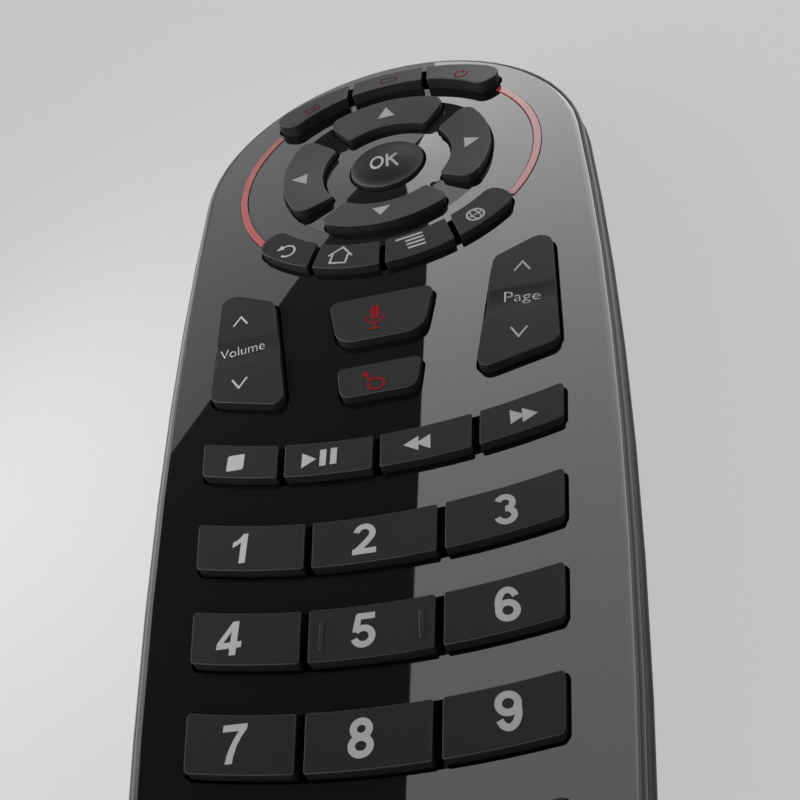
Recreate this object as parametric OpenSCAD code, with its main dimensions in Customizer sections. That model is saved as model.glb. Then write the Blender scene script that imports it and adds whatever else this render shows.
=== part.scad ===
// Universal remote control: a gloss face with matt keys over a satin lower case.
// Millimetres. Origin on the table under the middle of the body, +Y to the head, +Z out of the face.

/* [Body] */
// overall length from foot to head
body_len = 154.3; // [145:0.1:165]
// radius of the round head
head_r = 29.25; // [28.5:0.05:31]
// radius of the long side curve
side_r = 700; // [600:10:900]
// radius of the foot end
foot_r = 34; // [28:1:40]
// radius of the two foot corners
corner_r = 13.5; // [12:0.5:15]
// height of the face above the table
face_z = 19; // [18.5:0.1:21]
// thickness of the gloss face
plate = 1.8; // [1.5:0.1:2]
// rounding of the face edge
edge_r = 1.4; // [1:0.1:2.2]
// step from the lower case in to the face edge
face_step = 0.6; // [0.5:0.1:1.2]
// wall of the lower case
wall = 1.8; // [1.5:0.1:2]

/* [Keys] */
// height of the flat keys above the face
key_h = 1.15; // [0.9:0.05:1.6]
// gap between a key and its opening
key_gap = 0.35; // [0.3:0.05:0.45]
// gap between two keys in one opening
key_space = 0.85; // [0.5:0.05:0.9]
// travel of a pressed key
press = 0.7; // [0.4:0.05:0.8]
// thickness of the rim that holds a key under the face
rim_t = 0.7; // [0.5:0.05:0.8]
// reach of that rim under the face
rim_w = 0.8; // [0.6:0.05:0.9]
// gap between the rim and the face above it
rim_gap = 0.12; // [0.1:0.01:0.2]

/* [Ring] */
// distance from the head's edge in to the direction keys
pad_edge = 13.65; // [13.4:0.05:14]
// depth of the direction keys, from their outer to their inner edge
pad_d = 5.85; // [5.4:0.05:6.1]
// half angle of a direction key
pad_a = 37; // [33:0.5:38]
// width of the web between the direction keys and the middle key
ok_web = 4.25; // [4.05:0.05:4.8]
// height of the middle key's dome
ok_h = 1.7; // [1:0.1:2]
// distance from the head's edge in to the middle of the light strips
strip_rim = 7.15; // [6.9:0.05:7.3]
// width of a light strip
strip_w = 1.06; // [0.8:0.02:1.4]
// angle of a light strip below the ring's middle line
strip_a = 38.3; // [35:0.1:38.5]
// angle of a light strip above the ring's middle line
strip_b = 37.8; // [35:0.1:38.5]
// height of a light strip above the face
strip_h = 0.15; // [0.1:0.05:0.6]
// distance from the head's edge in to the lower arc of keys
arc_rim = 5.3; // [5:0.05:5.6]
// depth of the lower arc of keys
arc_d = 4.7; // [4.4:0.05:5]
// distance from the head's edge in to the upper arc of keys
up_rim = 4.75; // [4.5:0.05:5.2]
// half angle of both arcs of keys
arc_a = 50.5; // [49:0.5:51]

/* [Rows] */
// centre of the row curves, above the ring's centre
row_c = 17; // [15:0.5:19]
// distance from the player row to the first number row
row_first = 11.73; // [11.4:0.01:11.9]
// distance from one number row to the next
row_step = 10.29; // [10:0.01:10.5]
// depth of a number key
row_d = 5.44; // [5:0.02:5.8]
// radius of the lower edge of the player row
play_r = 74.8; // [74.5:0.05:75.4]
// depth of a player key
play_d = 4.52; // [4:0.02:4.8]
// half width of the keypad 80 mm below the ring
pad_half = 17.64; // [17:0.02:18]
// widening of the keypad for each millimetre towards the head
pad_taper = 0.101; // [0.09:0.001:0.11]

/* [Inside] */
// gap between a pressed key and the rubber sheet
mat_gap = 0.48; // [0.3:0.02:0.6]
// thickness of the circuit board
board_t = 1.2; // [1:0.1:1.2]
// thickness of the rubber sheet
mat_t = 0.7; // [0.5:0.05:0.8]
// radius of an AAA cell
cell_r = 5.2; // [5.1:0.05:5.25]
// length of an AAA cell
cell_l = 43.7; // [43.3:0.1:44]
// middle of the cell bay
bay_y = -26; // [-28:0.5:-25]
// thickness of the battery door
door_t = 1.6; // [1.4:0.1:1.6]
// gap around the battery door
door_gap = 0.3; // [0.25:0.05:0.4]
// length of the cell bay beyond the cells, for the contacts
bay_spare = 7.3; // [7:0.1:7.6]

/* [Hidden] */
$fn = 64;
ring_y = body_len / 2 - head_r;
under_z = face_z - plate;
seam_z = face_z - 2.6;
rim_z = seam_z - 0.3;
belly_r = 17;
belly_z = rim_z - 0.9;
hold_z = under_z - rim_gap;
key_z = hold_z - rim_t;
crown_z = key_z - 0.05;
board_z = key_z - press - mat_gap - mat_t;
shelf_z = board_z - board_t;
screw_z = shelf_z - 4.3;
pad_r = head_r - pad_edge;
pad_in = pad_r - pad_d;
ok_r = pad_in - ok_web;
strip_r = head_r - strip_rim;
arc_out = head_r - arc_rim;
arc_in = arc_out - arc_d;
row_r = play_r + row_first;
mid_top = -arc_out - 0.65;
mid_low = row_c - play_r + play_d + 6.4;
side_c = [head_r - side_r, ring_y];
foot_c = [0, foot_r - body_len / 2];
corner_c = meet(foot_c, foot_r - corner_r, side_c, side_r - corner_r);
side_a = atan2(corner_c.y - side_c.y, corner_c.x - side_c.x);
foot_a = atan2(corner_c.y - foot_c.y, corner_c.x - foot_c.x);
bay_half = 2 * cell_r + 0.5;
bay_l = cell_l + bay_spare;
bay_wall = 1.2;
door_half = bay_half + 1;
door_z = 0.3;
hinge_y = bay_y + bay_l / 2 + 0.75;
hinge_z = door_z + door_t / 2;
door_foot = bay_y - bay_l / 2 - 1.4;
cell_x = cell_r + 0.2;
cell_z = door_z + door_t + 0.3 + cell_r;
rock_y = mid_low + 0.479 * (mid_top - mid_low);
rock_z = key_z + rim_t / 2;
rock_w = pad_w(rock_y);
window_half = 7.9;
window_z = 6.6;
window_h = 5.3;
hole_r = pad_r + key_gap;
bezel_r = hole_r - 0.1;
bezel_fall = 0.28;
bezel_dish = 0.22;
bezel_rim = 0.05;
pad_high = key_h + 0.15;
screw_x = strip_r - 3.2;
screw_y = min(ring_y + row_c - row_r - 3 * row_step - 7.06, bay_y - bay_l / 2 - bay_wall - 3.5);
screws = [[screw_x, ring_y], [-screw_x, ring_y], [pad_half / 2, screw_y], [-pad_half / 2, screw_y]];
leds = [for (a = [20.5, -20.5, 159.5, -159.5]) strip_r * [cos(a), sin(a)]];
matt = [0.16, 0.16, 0.17];
gloss = [0.03, 0.03, 0.035];
satin = [0.10, 0.10, 0.11];

// unit vector
function unit(v) = v / norm(v);

// point where two circles cross, on the left of the way from the first to the second
function meet(a, ra, b, rb) =
    let (d = norm(b - a), e = (b - a) / d, s = (ra * ra - rb * rb + d * d) / (2 * d))
    a + e * s + [-e.y, e.x] * sqrt(ra * ra - s * s);

// points on a circle
function arc(c, r, a, b, n) = [for (q = [0:n]) let (t = a + (b - a) * q / n) c + r * [cos(t), sin(t)]];

// points in the other order, and mirrored left to right
function turned_back(p) = [for (i = [len(p) - 1:-1:0]) p[i]];
function mirrored(p) = [for (q = turned_back(p)) [-q.x, q.y]];

// one corner of an outline, rounded
function corner(p, a, b, r, n) =
    let (u = unit(a - p), w = unit(b - p), half = acos(u * w) / 2)
    let (c = p + unit(u + w) * r / sin(half), s = p + u * r / tan(half) - c, e = p + w * r / tan(half) - c)
    let (start = atan2(s.y, s.x), sweep = atan2(s.x * e.y - s.y * e.x, s * e))
    arc(c, r, start, start + sweep, n);

// outline with each corner rounded by its own radius
function rounded(p, r, n = 4) =
    let (m = len(p))
    [for (i = [0:m - 1]) each r[i] > 0 ? corner(p[i], p[(i + m - 1) % m], p[(i + 1) % m], r[i], n) : [p[i]]];

// outline moved out by d on every side
function grown(p, d) =
    let (m = len(p))
    [for (i = [0:m - 1])
        let (e = unit(p[i] - p[(i + m - 1) % m]), f = unit(p[(i + 1) % m] - p[i]))
        let (g = [e.y, -e.x], h = [f.y, -f.x])
        p[i] + d * (g + h) / (1 + g * h)];

// points on a circle without the last one
function open_arc(c, r, a, b, n) =
    [for (q = [0:n - 1]) let (t = a + (b - a) * q / n) c + r * [cos(t), sin(t)]];

// right half of the plan, from next to the foot to next to the head, moved in by u
function half_plan(u) = concat(
    [for (i = [1:3]) foot_c + (foot_r - u) * [sin((foot_a + 90) * i / 4), -cos((foot_a + 90) * i / 4)]],
    open_arc(corner_c, corner_r - u, foot_a, side_a, 8),
    open_arc(side_c, side_r - u, side_a, 0, 8),
    open_arc([0, ring_y], head_r - u, 0, 90, 14));
function plan(u) = concat(
    [[0, foot_c.y - foot_r + u]],
    half_plan(u),
    [[0, ring_y + head_r - u]],
    mirrored(half_plan(u)));

// half width of the keypad at a place below the ring
function pad_w(y) = pad_half + pad_taper * (y + 80);

// point on a row curve, at a share f of the half width and moved sideways by s
function row_point(r, f, s) =
    let (x = f * pad_w(row_c - r) + s, y = row_c - sqrt(r * r - x * x))
    let (x2 = f * pad_w(y) + s)
    [x2, row_c - sqrt(r * r - x2 * x2)];
function row_angle(r, f, s) = let (q = row_point(r, f, s)) atan2(q.y - row_c, q.x);

// radii for the outline of a key whose two long edges have n steps each
function corner_list(c, n) =
    [for (i = [0:2 * n + 1]) i == 0 ? c[0] : i == n ? c[1] : i == n + 1 ? c[2] : i == 2 * n + 1 ? c[3] : 0];

// key in a row, between two shares of the half width, with its four corner radii
function row_key(r, d, f, s, g, t, c, n = 4) = rounded(concat(
    arc([0, row_c], r, row_angle(r, f, s), row_angle(r, g, t), n),
    arc([0, row_c], r - d, row_angle(r - d, g, t), row_angle(r - d, f, s), n)),
    corner_list(c, n));

// key in an arc around the ring, between two sides given as a place at the outer edge and one at the inner
function arc_key(ro, co, ri, ci, a, b, c, n = 4) = rounded(concat(
    arc(co, ro, a[0], b[0], n),
    arc(ci, ri, b[1], a[1], n)),
    corner_list(c, n));

// rows of the keypad: share of the half width at the gaps
third = 0.362;
half_space = key_space / 2;
tight = 0.25;
soft = 0.35;
wide = 0.6;
function number_key(row, col, grow_d = 0) =
    let (r = row_r + row * row_step + grow_d, d = row_d + 2 * grow_d)
    col == 0 ? row_key(r, d, -1, 0, -third, -half_space, [wide, tight, tight, soft])
    : col == 1 ? row_key(r, d, -third, half_space, third, -half_space, [tight, tight, tight, tight])
    : row_key(r, d, third, half_space, 1, 0, [tight, wide, soft, tight]);
function number_slot(row) =
    grown(row_key(row_r + row * row_step, row_d, -1, 0, 1, 0, [wide, wide, soft, soft], 12), key_gap);

// player row: four keys
quarter = 0.54;
function player_key(col, grow_d = 0) =
    let (r = play_r + grow_d, d = play_d + 2 * grow_d)
    col == 0 ? row_key(r, d, -1, 0, -quarter, -half_space, [wide, tight, tight, soft])
    : col == 1 ? row_key(r, d, -quarter, half_space, 0, -half_space, [tight, tight, tight, tight])
    : col == 2 ? row_key(r, d, 0, half_space, quarter, -half_space, [tight, tight, tight, tight])
    : row_key(r, d, quarter, half_space, 1, 0, [tight, wide, soft, tight]);
player_slot = grown(row_key(play_r, play_d, -1, 0, 1, 0, [wide, wide, soft, soft], 16), key_gap);

// lower arc: angle on a circle about the ring where a side line of slope k crosses it
function line_angle(r, x, k) =
    let (m = arc_in + 1.1, q = x + k * (sqrt(r * r - x * x) - m), p = x + k * (sqrt(r * r - q * q) - m))
    -90 + asin(p / r);
low_x = 0.405 * arc_out;
low_k = 0.26;
function lower_side(i, r, s) =
    i == 0 ? -90 - arc_a
    : i == 1 ? line_angle(r, -low_x + s, -low_k)
    : i == 2 ? line_angle(r, s, 0)
    : i == 3 ? line_angle(r, low_x + s, low_k)
    : -90 + arc_a;
function lower_key(i, grow_d = 0) =
    let (ro = arc_out + grow_d, ri = arc_in - grow_d)
    let (s = i == 0 ? 0 : half_space, t = i == 3 ? 0 : -half_space)
    let (c = [i == 0 ? 2.2 : tight, i == 3 ? 2.2 : tight, i == 3 ? 1.6 : tight, i == 0 ? 1.6 : tight])
    arc_key(ro, [0, 0], ri, [0, 0], [lower_side(i, ro, s), lower_side(i, ri, s)],
        [lower_side(i + 1, ro, t), lower_side(i + 1, ri, t)], c);
lower_slot = grown(arc_key(arc_out, [0, 0], arc_in, [0, 0], [-90 - arc_a, -90 - arc_a],
    [-90 + arc_a, -90 + arc_a], [2.2, 2.2, 1.6, 1.6], 16), key_gap);

// upper arc: the inner edge is a flatter curve than the outer one
up_out = head_r - up_rim;
up_in = pad_r + 4.15;
up_c = [0, -0.5];
up_r = up_in - up_c.y;
up_x = 0.249 * up_out;
up_e = 0.604 * up_out;
up_end = 51;
up_high = 1.7;
up_low = 1.1;
function upper_in(x, r) = atan2(sqrt(r * r - x * x), x);
function upper_key(i, grow_d = 0) =
    let (ro = up_out + grow_d, ri = up_r - grow_d)
    let (x = i == 0 ? -up_e : i == 1 ? -up_x + half_space : up_x + half_space)
    let (z = i == 0 ? -up_x - half_space : i == 1 ? up_x - half_space : up_e)
    let (a = i == 0 ? 90 + up_end : upper_in(x, ro), b = i == 2 ? 90 - up_end : upper_in(z, ro))
    let (c = i == 0 ? [tight, 1.9, 1.8, tight] : i == 2 ? [1.9, tight, tight, 1.8] : [tight, tight, tight, tight])
    arc_key(ro, [0, 0], ri, up_c, [b, upper_in(z, ri)], [a, upper_in(x, ri)], c);
upper_slot = grown(arc_key(up_out, [0, 0], up_r, up_c, [90 - up_end, upper_in(up_e, up_r)],
    [90 + up_end, upper_in(-up_e, up_r)], [1.9, 1.9, 1.8, 1.8], 14), key_gap);

// direction keys and the spaces that they stand in
function pad_key(a) = arc_key(pad_r, [0, 0], pad_in, [0, 0], [a - pad_a, a - pad_a], [a + pad_a, a + pad_a],
    [1.7, 1.7, 0.8, 0.8], 10);
function pad_space(a) = grown(pad_key(a), key_gap);
function pad_rim(a) = arc_key(hole_r + rim_w, [0, 0], pad_in - key_gap - 0.4, [0, 0], [a - 31, a - 31],
    [a + 31, a + 31], [0, 0, 0, 0], 10);

// rockers, voice key and pointer key: placed by a share of the keypad's half width, and by a share
// of the height between the lower arc and the player row
function mid_point(f, h) = let (y = mid_low + h * (mid_top - mid_low)) [f * pad_w(y), y];
function rocker() = rounded([mid_point(0.537, 0.031), mid_point(0.985, 0.15), mid_point(0.945, 1.04),
    mid_point(0.627, 0.88)], [1.2, 1.6, 1.7, 1.8]);
function voice() = rounded([mid_point(-0.246, 0.409), mid_point(0.246, 0.409), mid_point(0.297, 0.757),
    mid_point(-0.297, 0.757)], [2.6, 2.6, 1, 1]);
function pointer() = rounded([mid_point(-0.215, 0), mid_point(0.215, 0), mid_point(0.237, 0.214),
    mid_point(-0.237, 0.214)], [1.3, 1.3, 0.7, 0.7]);

// solid turned about one of the outline's centres, from a section drawn inward from the outline
module turned(c, r, a, b, depth) {
    translate([c.x, c.y, 0])
        rotate([0, 0, a])
            rotate_extrude(angle = b - a)
                intersection() {
                    translate([r, 0])
                        children();
                    translate([r - depth, -50])
                        square([depth + 5, 100]);
                }
}

// solid on the whole outline, from a list of sections [moved in by, height] going up
module lofted(sections) {
    n = len(plan(0));
    m = len(sections);
    points = [for (c = sections) for (q = plan(c[0])) [q.x, q.y, c[1]]];
    bottom = [for (i = [0:n - 1]) i];
    top = [for (i = [n - 1:-1:0]) (m - 1) * n + i];
    sides = [for (k = [0:m - 2], i = [0:n - 1])
        [k * n + i, (k + 1) * n + i, (k + 1) * n + (i + 1) % n, k * n + (i + 1) % n]];
    polyhedron(points, concat([bottom], sides, [top]));
}

// prism on an outline
module prism(p, low, high) {
    translate([0, ring_y, low])
        linear_extrude(high - low)
            polygon(p);
}

// straight key with its rim
module plain_key(p, r, h) {
    prism(p, key_z, face_z + h);
    prism(r, key_z, hold_z);
}

// sections of the face, the lower case and the space inside the case
face_shape = concat(
    [[face_step, seam_z]],
    [for (a = [0:22.5:90]) [face_step + edge_r * (1 - cos(a)), face_z - edge_r * (1 - sin(a))]]);
low_a = asin(belly_z / belly_r);
case_shape = concat(
    [for (i = [6:-1:0]) [belly_r * (1 - cos(low_a * i / 6)), belly_z - belly_r * sin(low_a * i / 6)]],
    [for (a = [30:30:90]) [0.9 * (1 - cos(a)), belly_z + 0.9 * sin(a)]]);
in_r = belly_r - wall;
in_a = asin((belly_z - wall) / in_r);
hollow_shape = concat(
    [for (i = [5:-1:0]) [belly_r - in_r * cos(in_a * i / 5), belly_z - in_r * sin(in_a * i / 5)]],
    [[wall, rim_z + 1]]);

module case_section() {
    intersection() {
        translate([-belly_r, belly_z])
            circle(belly_r, $fn = 128);
        translate([-40, 0])
            square([40, belly_z]);
    }
    translate([-40, belly_z - 0.1])
        square([39.1, rim_z - belly_z + 0.1]);
    translate([-0.9, belly_z])
        circle(0.9);
}

module hollow_section() {
    intersection() {
        translate([-belly_r, belly_z])
            circle(belly_r - wall, $fn = 128);
        translate([-40, wall])
            square([40, belly_z - wall]);
    }
    translate([-40, belly_z - 0.1])
        square([40 - wall, 5]);
}

module top_cover() {
    color(gloss)
        difference() {
            union() {
                difference() {
                    lofted(face_shape);
                    translate([0, 0, seam_z - 1])
                        linear_extrude(under_z - seam_z + 1)
                            polygon(plan(3.7));
                }
                difference() {
                    translate([0, 0, seam_z - 1.4])
                        linear_extrude(1.6)
                            polygon(plan(2.5));
                    translate([0, 0, seam_z - 2])
                        linear_extrude(3)
                            polygon(plan(3.7));
                }
                for (s = screws)
                    translate([s.x, s.y, shelf_z + 0.15])
                        cylinder(r = 1.9, h = under_z - shelf_z);
            }
            prism(upper_slot, under_z - 1, face_z + 1);
            prism(lower_slot, under_z - 1, face_z + 1);
            prism(player_slot, under_z - 1, face_z + 1);
            for (i = [0:3])
                prism(number_slot(i), under_z - 1, face_z + 1);
            for (m = [0, 1])
                mirror([m, 0, 0])
                    prism(grown(rocker(), key_gap + 0.05), under_z - 1, face_z + 1);
            prism(grown(voice(), key_gap), under_z - 1, face_z + 1);
            prism(grown(pointer(), key_gap), under_z - 1, face_z + 1);
            translate([0, ring_y, under_z - 1])
                cylinder(r = hole_r, h = plate + 2);
            for (m = [0, 1])
                mirror([m, 0, 0])
                    light_arc(0.12, 3);
            for (q = leds)
                translate([q.x, ring_y + q.y, under_z - 1])
                    cylinder(r = 0.5, h = 2);
            for (s = screws)
                translate([s.x, s.y, shelf_z - 1])
                    cylinder(r = 0.85, h = under_z - 0.4 - shelf_z + 1);
        }
}

module dpad_bezel() {
    color(gloss)
        difference() {
            union() {
                translate([0, ring_y, under_z])
                    cylinder(r = bezel_r, h = plate);
                for (a = [45:90:315])
                    translate([0, ring_y, under_z - 0.7])
                        rotate([0, 0, a - 6])
                            rotate_extrude(angle = 12)
                                translate([bezel_r - 2.35, 0])
                                    square([4, 0.7]);
            }
            for (a = [0:90:270])
                prism(pad_space(a), under_z - 1, face_z + 1);
            translate([0, ring_y, under_z - 1])
                cylinder(r = ok_r + key_gap, h = plate + 2);
            translate([0, ring_y, 0])
                rotate_extrude()
                    polygon([[0, face_z - bezel_dish], [pad_in, face_z - bezel_dish - bezel_fall],
                        [bezel_r, face_z - bezel_rim], [bezel_r + 1, face_z - bezel_rim],
                        [bezel_r + 1, face_z + 2], [0, face_z + 2]]);
        }
}

module bottom_case() {
    color(satin)
        difference() {
            union() {
                difference() {
                    lofted(case_shape);
                    lofted(hollow_shape);
                }
                translate([-bay_half - bay_wall, bay_y - bay_l / 2 - bay_wall, wall - 0.5])
                    cube([2 * (bay_half + bay_wall), bay_l + 2 * bay_wall, shelf_z - wall + 0.5]);
                for (x = [-1, 1])
                    translate([x * (door_half + 1.5) - 1.3, hinge_y - 1.6, wall - 0.5])
                        cube([2.6, 3.4, 1.9]);
                for (s = screws)
                    translate([s.x, s.y, wall - 1])
                        cylinder(r = 2.9, h = shelf_z - wall + 1);
            }
            translate([-bay_half, bay_y - bay_l / 2, -1])
                cube([2 * bay_half, bay_l, shelf_z - 0.7 + 1]);
            translate([-door_half - door_gap, door_foot - door_gap, -1])
                cube([2 * (door_half + door_gap), hinge_y + door_t / 2 - door_foot + 2 * door_gap,
                    door_z + door_t + 0.2 + 1]);
            translate([-door_half - 1.4, hinge_y, hinge_z])
                rotate([0, 90, 0])
                    cylinder(r = 0.65, h = 2 * (door_half + 1.4));
            for (s = screws) {
                translate([s.x, s.y, -1])
                    cylinder(r = 2.2, h = screw_z + 1);
                translate([s.x, s.y, screw_z - 1])
                    cylinder(r = 1.05, h = face_z);
            }
            translate([-window_half - 0.1, ring_y + head_r - 9.1, window_z - 0.1])
                cube([2 * window_half + 0.2, 20, window_h + 0.2]);
            translate([0, -body_len / 2 + 6, 11])
                rotate([90, 0, 0])
                    cylinder(r = 0.5, h = 10);
        }
}

module battery_door() {
    color(satin)
        difference() {
            union() {
                translate([-door_half, door_foot, door_z])
                    cube([2 * door_half, hinge_y - door_foot, door_t]);
                translate([-door_half, hinge_y, hinge_z])
                    rotate([0, 90, 0])
                        cylinder(r = door_t / 2, h = 2 * door_half);
                translate([-door_half - 1.1, hinge_y, hinge_z])
                    rotate([0, 90, 0])
                        cylinder(r = 0.4, h = 2 * (door_half + 1.1));
                translate([-3, bay_y - bay_l / 2 + door_gap, door_z + 0.5])
                    cube([6, 1, door_t + 1.6]);
            }
            for (i = [0:3])
                translate([-7, door_foot + 3 + 1.6 * i, door_z - 0.2])
                    rotate([0, 90, 0])
                        cylinder(r = 0.6, h = 14);
        }
}

// arc beside the ring on the right, with room around it
module light_arc(room, h) {
    spare = room * 180 / PI / strip_r;
    translate([0, ring_y, face_z - 1.2])
        rotate([0, 0, -strip_a - spare])
            rotate_extrude(angle = strip_a + strip_b + 2 * spare)
                translate([strip_r - strip_w / 2 - room, 0])
                    square([strip_w + 2 * room, h]);
}

module light_strip_left() {
    color([0.75, 0.2, 0.2])
        mirror([1, 0, 0])
            light_arc(0, 1.2 + strip_h);
}

module light_strip_right() {
    color([0.75, 0.2, 0.2])
        light_arc(0, 1.2 + strip_h);
}

module ir_window() {
    color([0.2, 0.02, 0.04])
        intersection() {
            turned([0, ring_y], head_r, 45, 135, head_r)
                difference() {
                    case_section();
                    hollow_section();
                }
            translate([-window_half, ring_y + head_r - 9.1, window_z])
                cube([2 * window_half, 20, window_h]);
        }
}

// places of the rubber domes, below the ring's centre
function around(r, a) = r * [cos(a), sin(a)];
domes = concat(
    [for (a = [0:90:270]) around((pad_r + pad_in) / 2, a)],
    [[0, 0]],
    [for (a = [58, 90, 122]) around((up_out + up_in) / 2, a)],
    [for (f = [-0.786, -0.27, 0.27, 0.786]) around((arc_out + arc_in) / 2, f * arc_a - 90)],
    [mid_point(-0.79, 0.806), mid_point(-0.748, 0.189), mid_point(0.79, 0.806), mid_point(0.748, 0.189)],
    [mid_point(0, 0.577), mid_point(0, 0.101)],
    [for (f = [-0.77, -0.27, 0.27, 0.77]) row_point(play_r - play_d / 2, f, 0)],
    [for (i = [0:3], f = [-0.69, 0, 0.69]) row_point(row_r + i * row_step - row_d / 2, f, 0)]);

module key_mat() {
    color([0.35, 0.35, 0.36])
        difference() {
            union() {
                translate([0, 0, board_z + 0.1])
                    linear_extrude(mat_t - 0.1)
                        polygon(plan(5.2));
                for (q = domes)
                    translate([q.x, ring_y + q.y, board_z + 0.1])
                        cylinder(r1 = 2.3, r2 = 1.5, h = crown_z - board_z - 0.1);
            }
            for (q = domes)
                translate([q.x, ring_y + q.y, board_z - 1])
                    cylinder(r1 = 2.3, r2 = 1.2, h = crown_z - board_z + 0.4);
            for (s = screws)
                translate([s.x, s.y, board_z - 1])
                    cylinder(r = 2.3, h = 4);
            for (q = leds)
                translate([q.x, ring_y + q.y, board_z - 1])
                    cylinder(r = 1.5, h = 4);
        }
}

module circuit_board() {
    color([0.05, 0.3, 0.16])
        difference() {
            translate([0, 0, shelf_z])
                linear_extrude(board_t)
                    polygon(plan(4.4));
            for (s = screws)
                translate([s.x, s.y, shelf_z - 1])
                    cylinder(r = 2.2, h = 4);
        }
}

module contact_pads() {
    color([0.8, 0.65, 0.25])
        for (q = domes)
            translate([q.x, ring_y + q.y, board_z])
                cylinder(r = 1.1, h = 0.1);
}

module ir_emitter() {
    color([0.5, 0.5, 0.6])
        translate([0, ring_y + head_r - 13.9, window_z + window_h / 2]) {
            rotate([-90, 0, 0])
                cylinder(r = 2.5, h = 8);
            translate([0, 8, 0])
                sphere(r = 2.5);
            rotate([-90, 0, 0])
                cylinder(r = 2.9, h = 1);
            for (x = [-1.27, 1.27])
                translate([x - 0.25, 0.2, 0])
                    cube([0.5, 0.5, shelf_z - window_z - window_h / 2]);
        }
}

module indicator_leds() {
    color([0.9, 0.3, 0.3])
        for (q = leds)
            translate([q.x - 0.8, ring_y + q.y - 0.8, board_z])
                cube([1.6, 1.6, 0.8]);
}

module controller_chip() {
    color([0.08, 0.08, 0.08])
        translate([-3.5, ring_y - 10, shelf_z - 1])
            cube([7, 7, 1]);
}

module motion_sensor() {
    color([0.1, 0.1, 0.1])
        translate([6.5, ring_y - 12, shelf_z - 0.9])
            cube([3, 3, 0.9]);
}

module crystal() {
    color([0.75, 0.75, 0.75])
        translate([-8.5, ring_y - 8, shelf_z - 0.8])
            cube([3.2, 2.5, 0.8]);
}

module microphone() {
    color([0.7, 0.7, 0.7])
        translate([0, -body_len / 2 + 12, shelf_z - 2.2])
            cylinder(r = 2, h = 2.2);
}

module cell() {
    rotate([-90, 0, 0])
        cylinder(r = cell_r, h = cell_l);
    translate([0, cell_l, 0])
        rotate([-90, 0, 0])
            cylinder(r = 1.9, h = 0.8);
}

module battery_left() {
    color([0.2, 0.35, 0.3])
        translate([-cell_x, bay_y - cell_l / 2 + 0.6, cell_z])
            cell();
}

module battery_right() {
    color([0.2, 0.35, 0.3])
        translate([cell_x, bay_y - 0.6, cell_z])
            rotate([0, 0, 180])
                translate([0, -cell_l / 2, 0])
                    cell();
}

// bent leaf that presses on the flat end of a cell
module leaf(reach) {
    translate([-3, 0, 0])
        rotate([90, 0, 90])
            linear_extrude(6)
                polygon([[0, -3], [0.35, -3], [0.35, 2.4], [reach - 0.35, 0.4], [reach - 0.35, -1.6],
                    [reach, -1.6], [reach, 0.6], [0.35, 2.8], [0.35, 3.2], [0, 3.2]]);
}

module head_contacts() {
    color([0.8, 0.8, 0.82]) {
        translate([-cell_x - 3.5, bay_y + bay_l / 2 - 0.35, cell_z - 3])
            cube([7, 0.35, 6]);
        translate([-cell_x, bay_y + bay_l / 2 - 0.3, cell_z])
            rotate([90, 0, 0])
                cylinder(r = 1.8, h = bay_l / 2 - cell_l / 2 - 0.6 - 0.8 - 0.35);
        translate([cell_x, bay_y + bay_l / 2, cell_z])
            rotate([0, 0, 180])
                leaf(bay_l / 2 - cell_l / 2 + 0.55);
    }
}

module foot_contact() {
    color([0.8, 0.8, 0.82]) {
        translate([-cell_x - 3, bay_y - bay_l / 2, cell_z + 2.8])
            cube([2 * cell_x + 6, 0.35, 1.2]);
        translate([-cell_x, bay_y - bay_l / 2, cell_z])
            leaf(bay_l / 2 - cell_l / 2 + 0.55);
        translate([cell_x - 3.5, bay_y - bay_l / 2, cell_z - 3])
            cube([7, 0.35, 6]);
        translate([cell_x, bay_y - bay_l / 2 + 0.3, cell_z])
            rotate([-90, 0, 0])
                cylinder(r = 1.8, h = bay_l / 2 - cell_l / 2 - 0.6 - 0.8 - 0.35);
    }
}

module case_screws() {
    color([0.7, 0.7, 0.72])
        for (s = screws)
            translate([s.x, s.y, screw_z - 1.4])
                difference() {
                    union() {
                        cylinder(r = 1.9, h = 1.4);
                        cylinder(r = 0.8, h = under_z + 0.4 - screw_z);
                    }
                    for (a = [0, 90])
                        rotate([0, 0, a])
                            translate([-1.2, -0.25, -1])
                                cube([2.4, 0.5, 1.6]);
                }
}

// key of the upper arc, its top sloping down to the head
module sloped_key(i) {
    difference() {
        plain_key(upper_key(i), upper_key(i, rim_w), up_high);
        translate([-head_r, ring_y + up_in - 1.5, face_z + up_high])
            rotate([-atan((up_high - up_low) / (up_out - up_in)), 0, 0])
                translate([0, -5, 0])
                    cube([2 * head_r, head_r, 5]);
    }
}

module key_input() {
    color(matt)
        sloped_key(0);
}

module key_guide() {
    color(matt)
        sloped_key(1);
}

module key_power() {
    color(matt)
        sloped_key(2);
}

// direction key, its top dished towards the middle
module pad_piece(a) {
    difference() {
        plain_key(pad_key(a), pad_rim(a), pad_high);
        translate([0, ring_y, 0])
            rotate_extrude()
                polygon([[0, face_z - 0.75], [pad_r + 1, face_z + pad_high + 0.12], [pad_r + 1, face_z + 5],
                    [0, face_z + 5]]);
    }
}

module key_up() {
    color(matt)
        pad_piece(90);
}

module key_down() {
    color(matt)
        pad_piece(270);
}

module key_left() {
    color(matt)
        pad_piece(180);
}

module key_right() {
    color(matt)
        pad_piece(0);
}

module key_ok() {
    dome_r = (ok_r * ok_r + ok_h * ok_h) / (2 * ok_h);
    color(matt)
        translate([0, ring_y, 0]) {
            translate([0, 0, key_z])
                cylinder(r = ok_r, h = face_z + 0.1 - key_z);
            translate([0, 0, key_z])
                cylinder(r = ok_r + key_gap + rim_w, h = rim_t);
            intersection() {
                translate([0, 0, face_z])
                    cylinder(r = ok_r, h = ok_h + 1);
                translate([0, 0, face_z + 0.1 + ok_h - dome_r])
                    sphere(r = dome_r);
            }
        }
}

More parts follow.
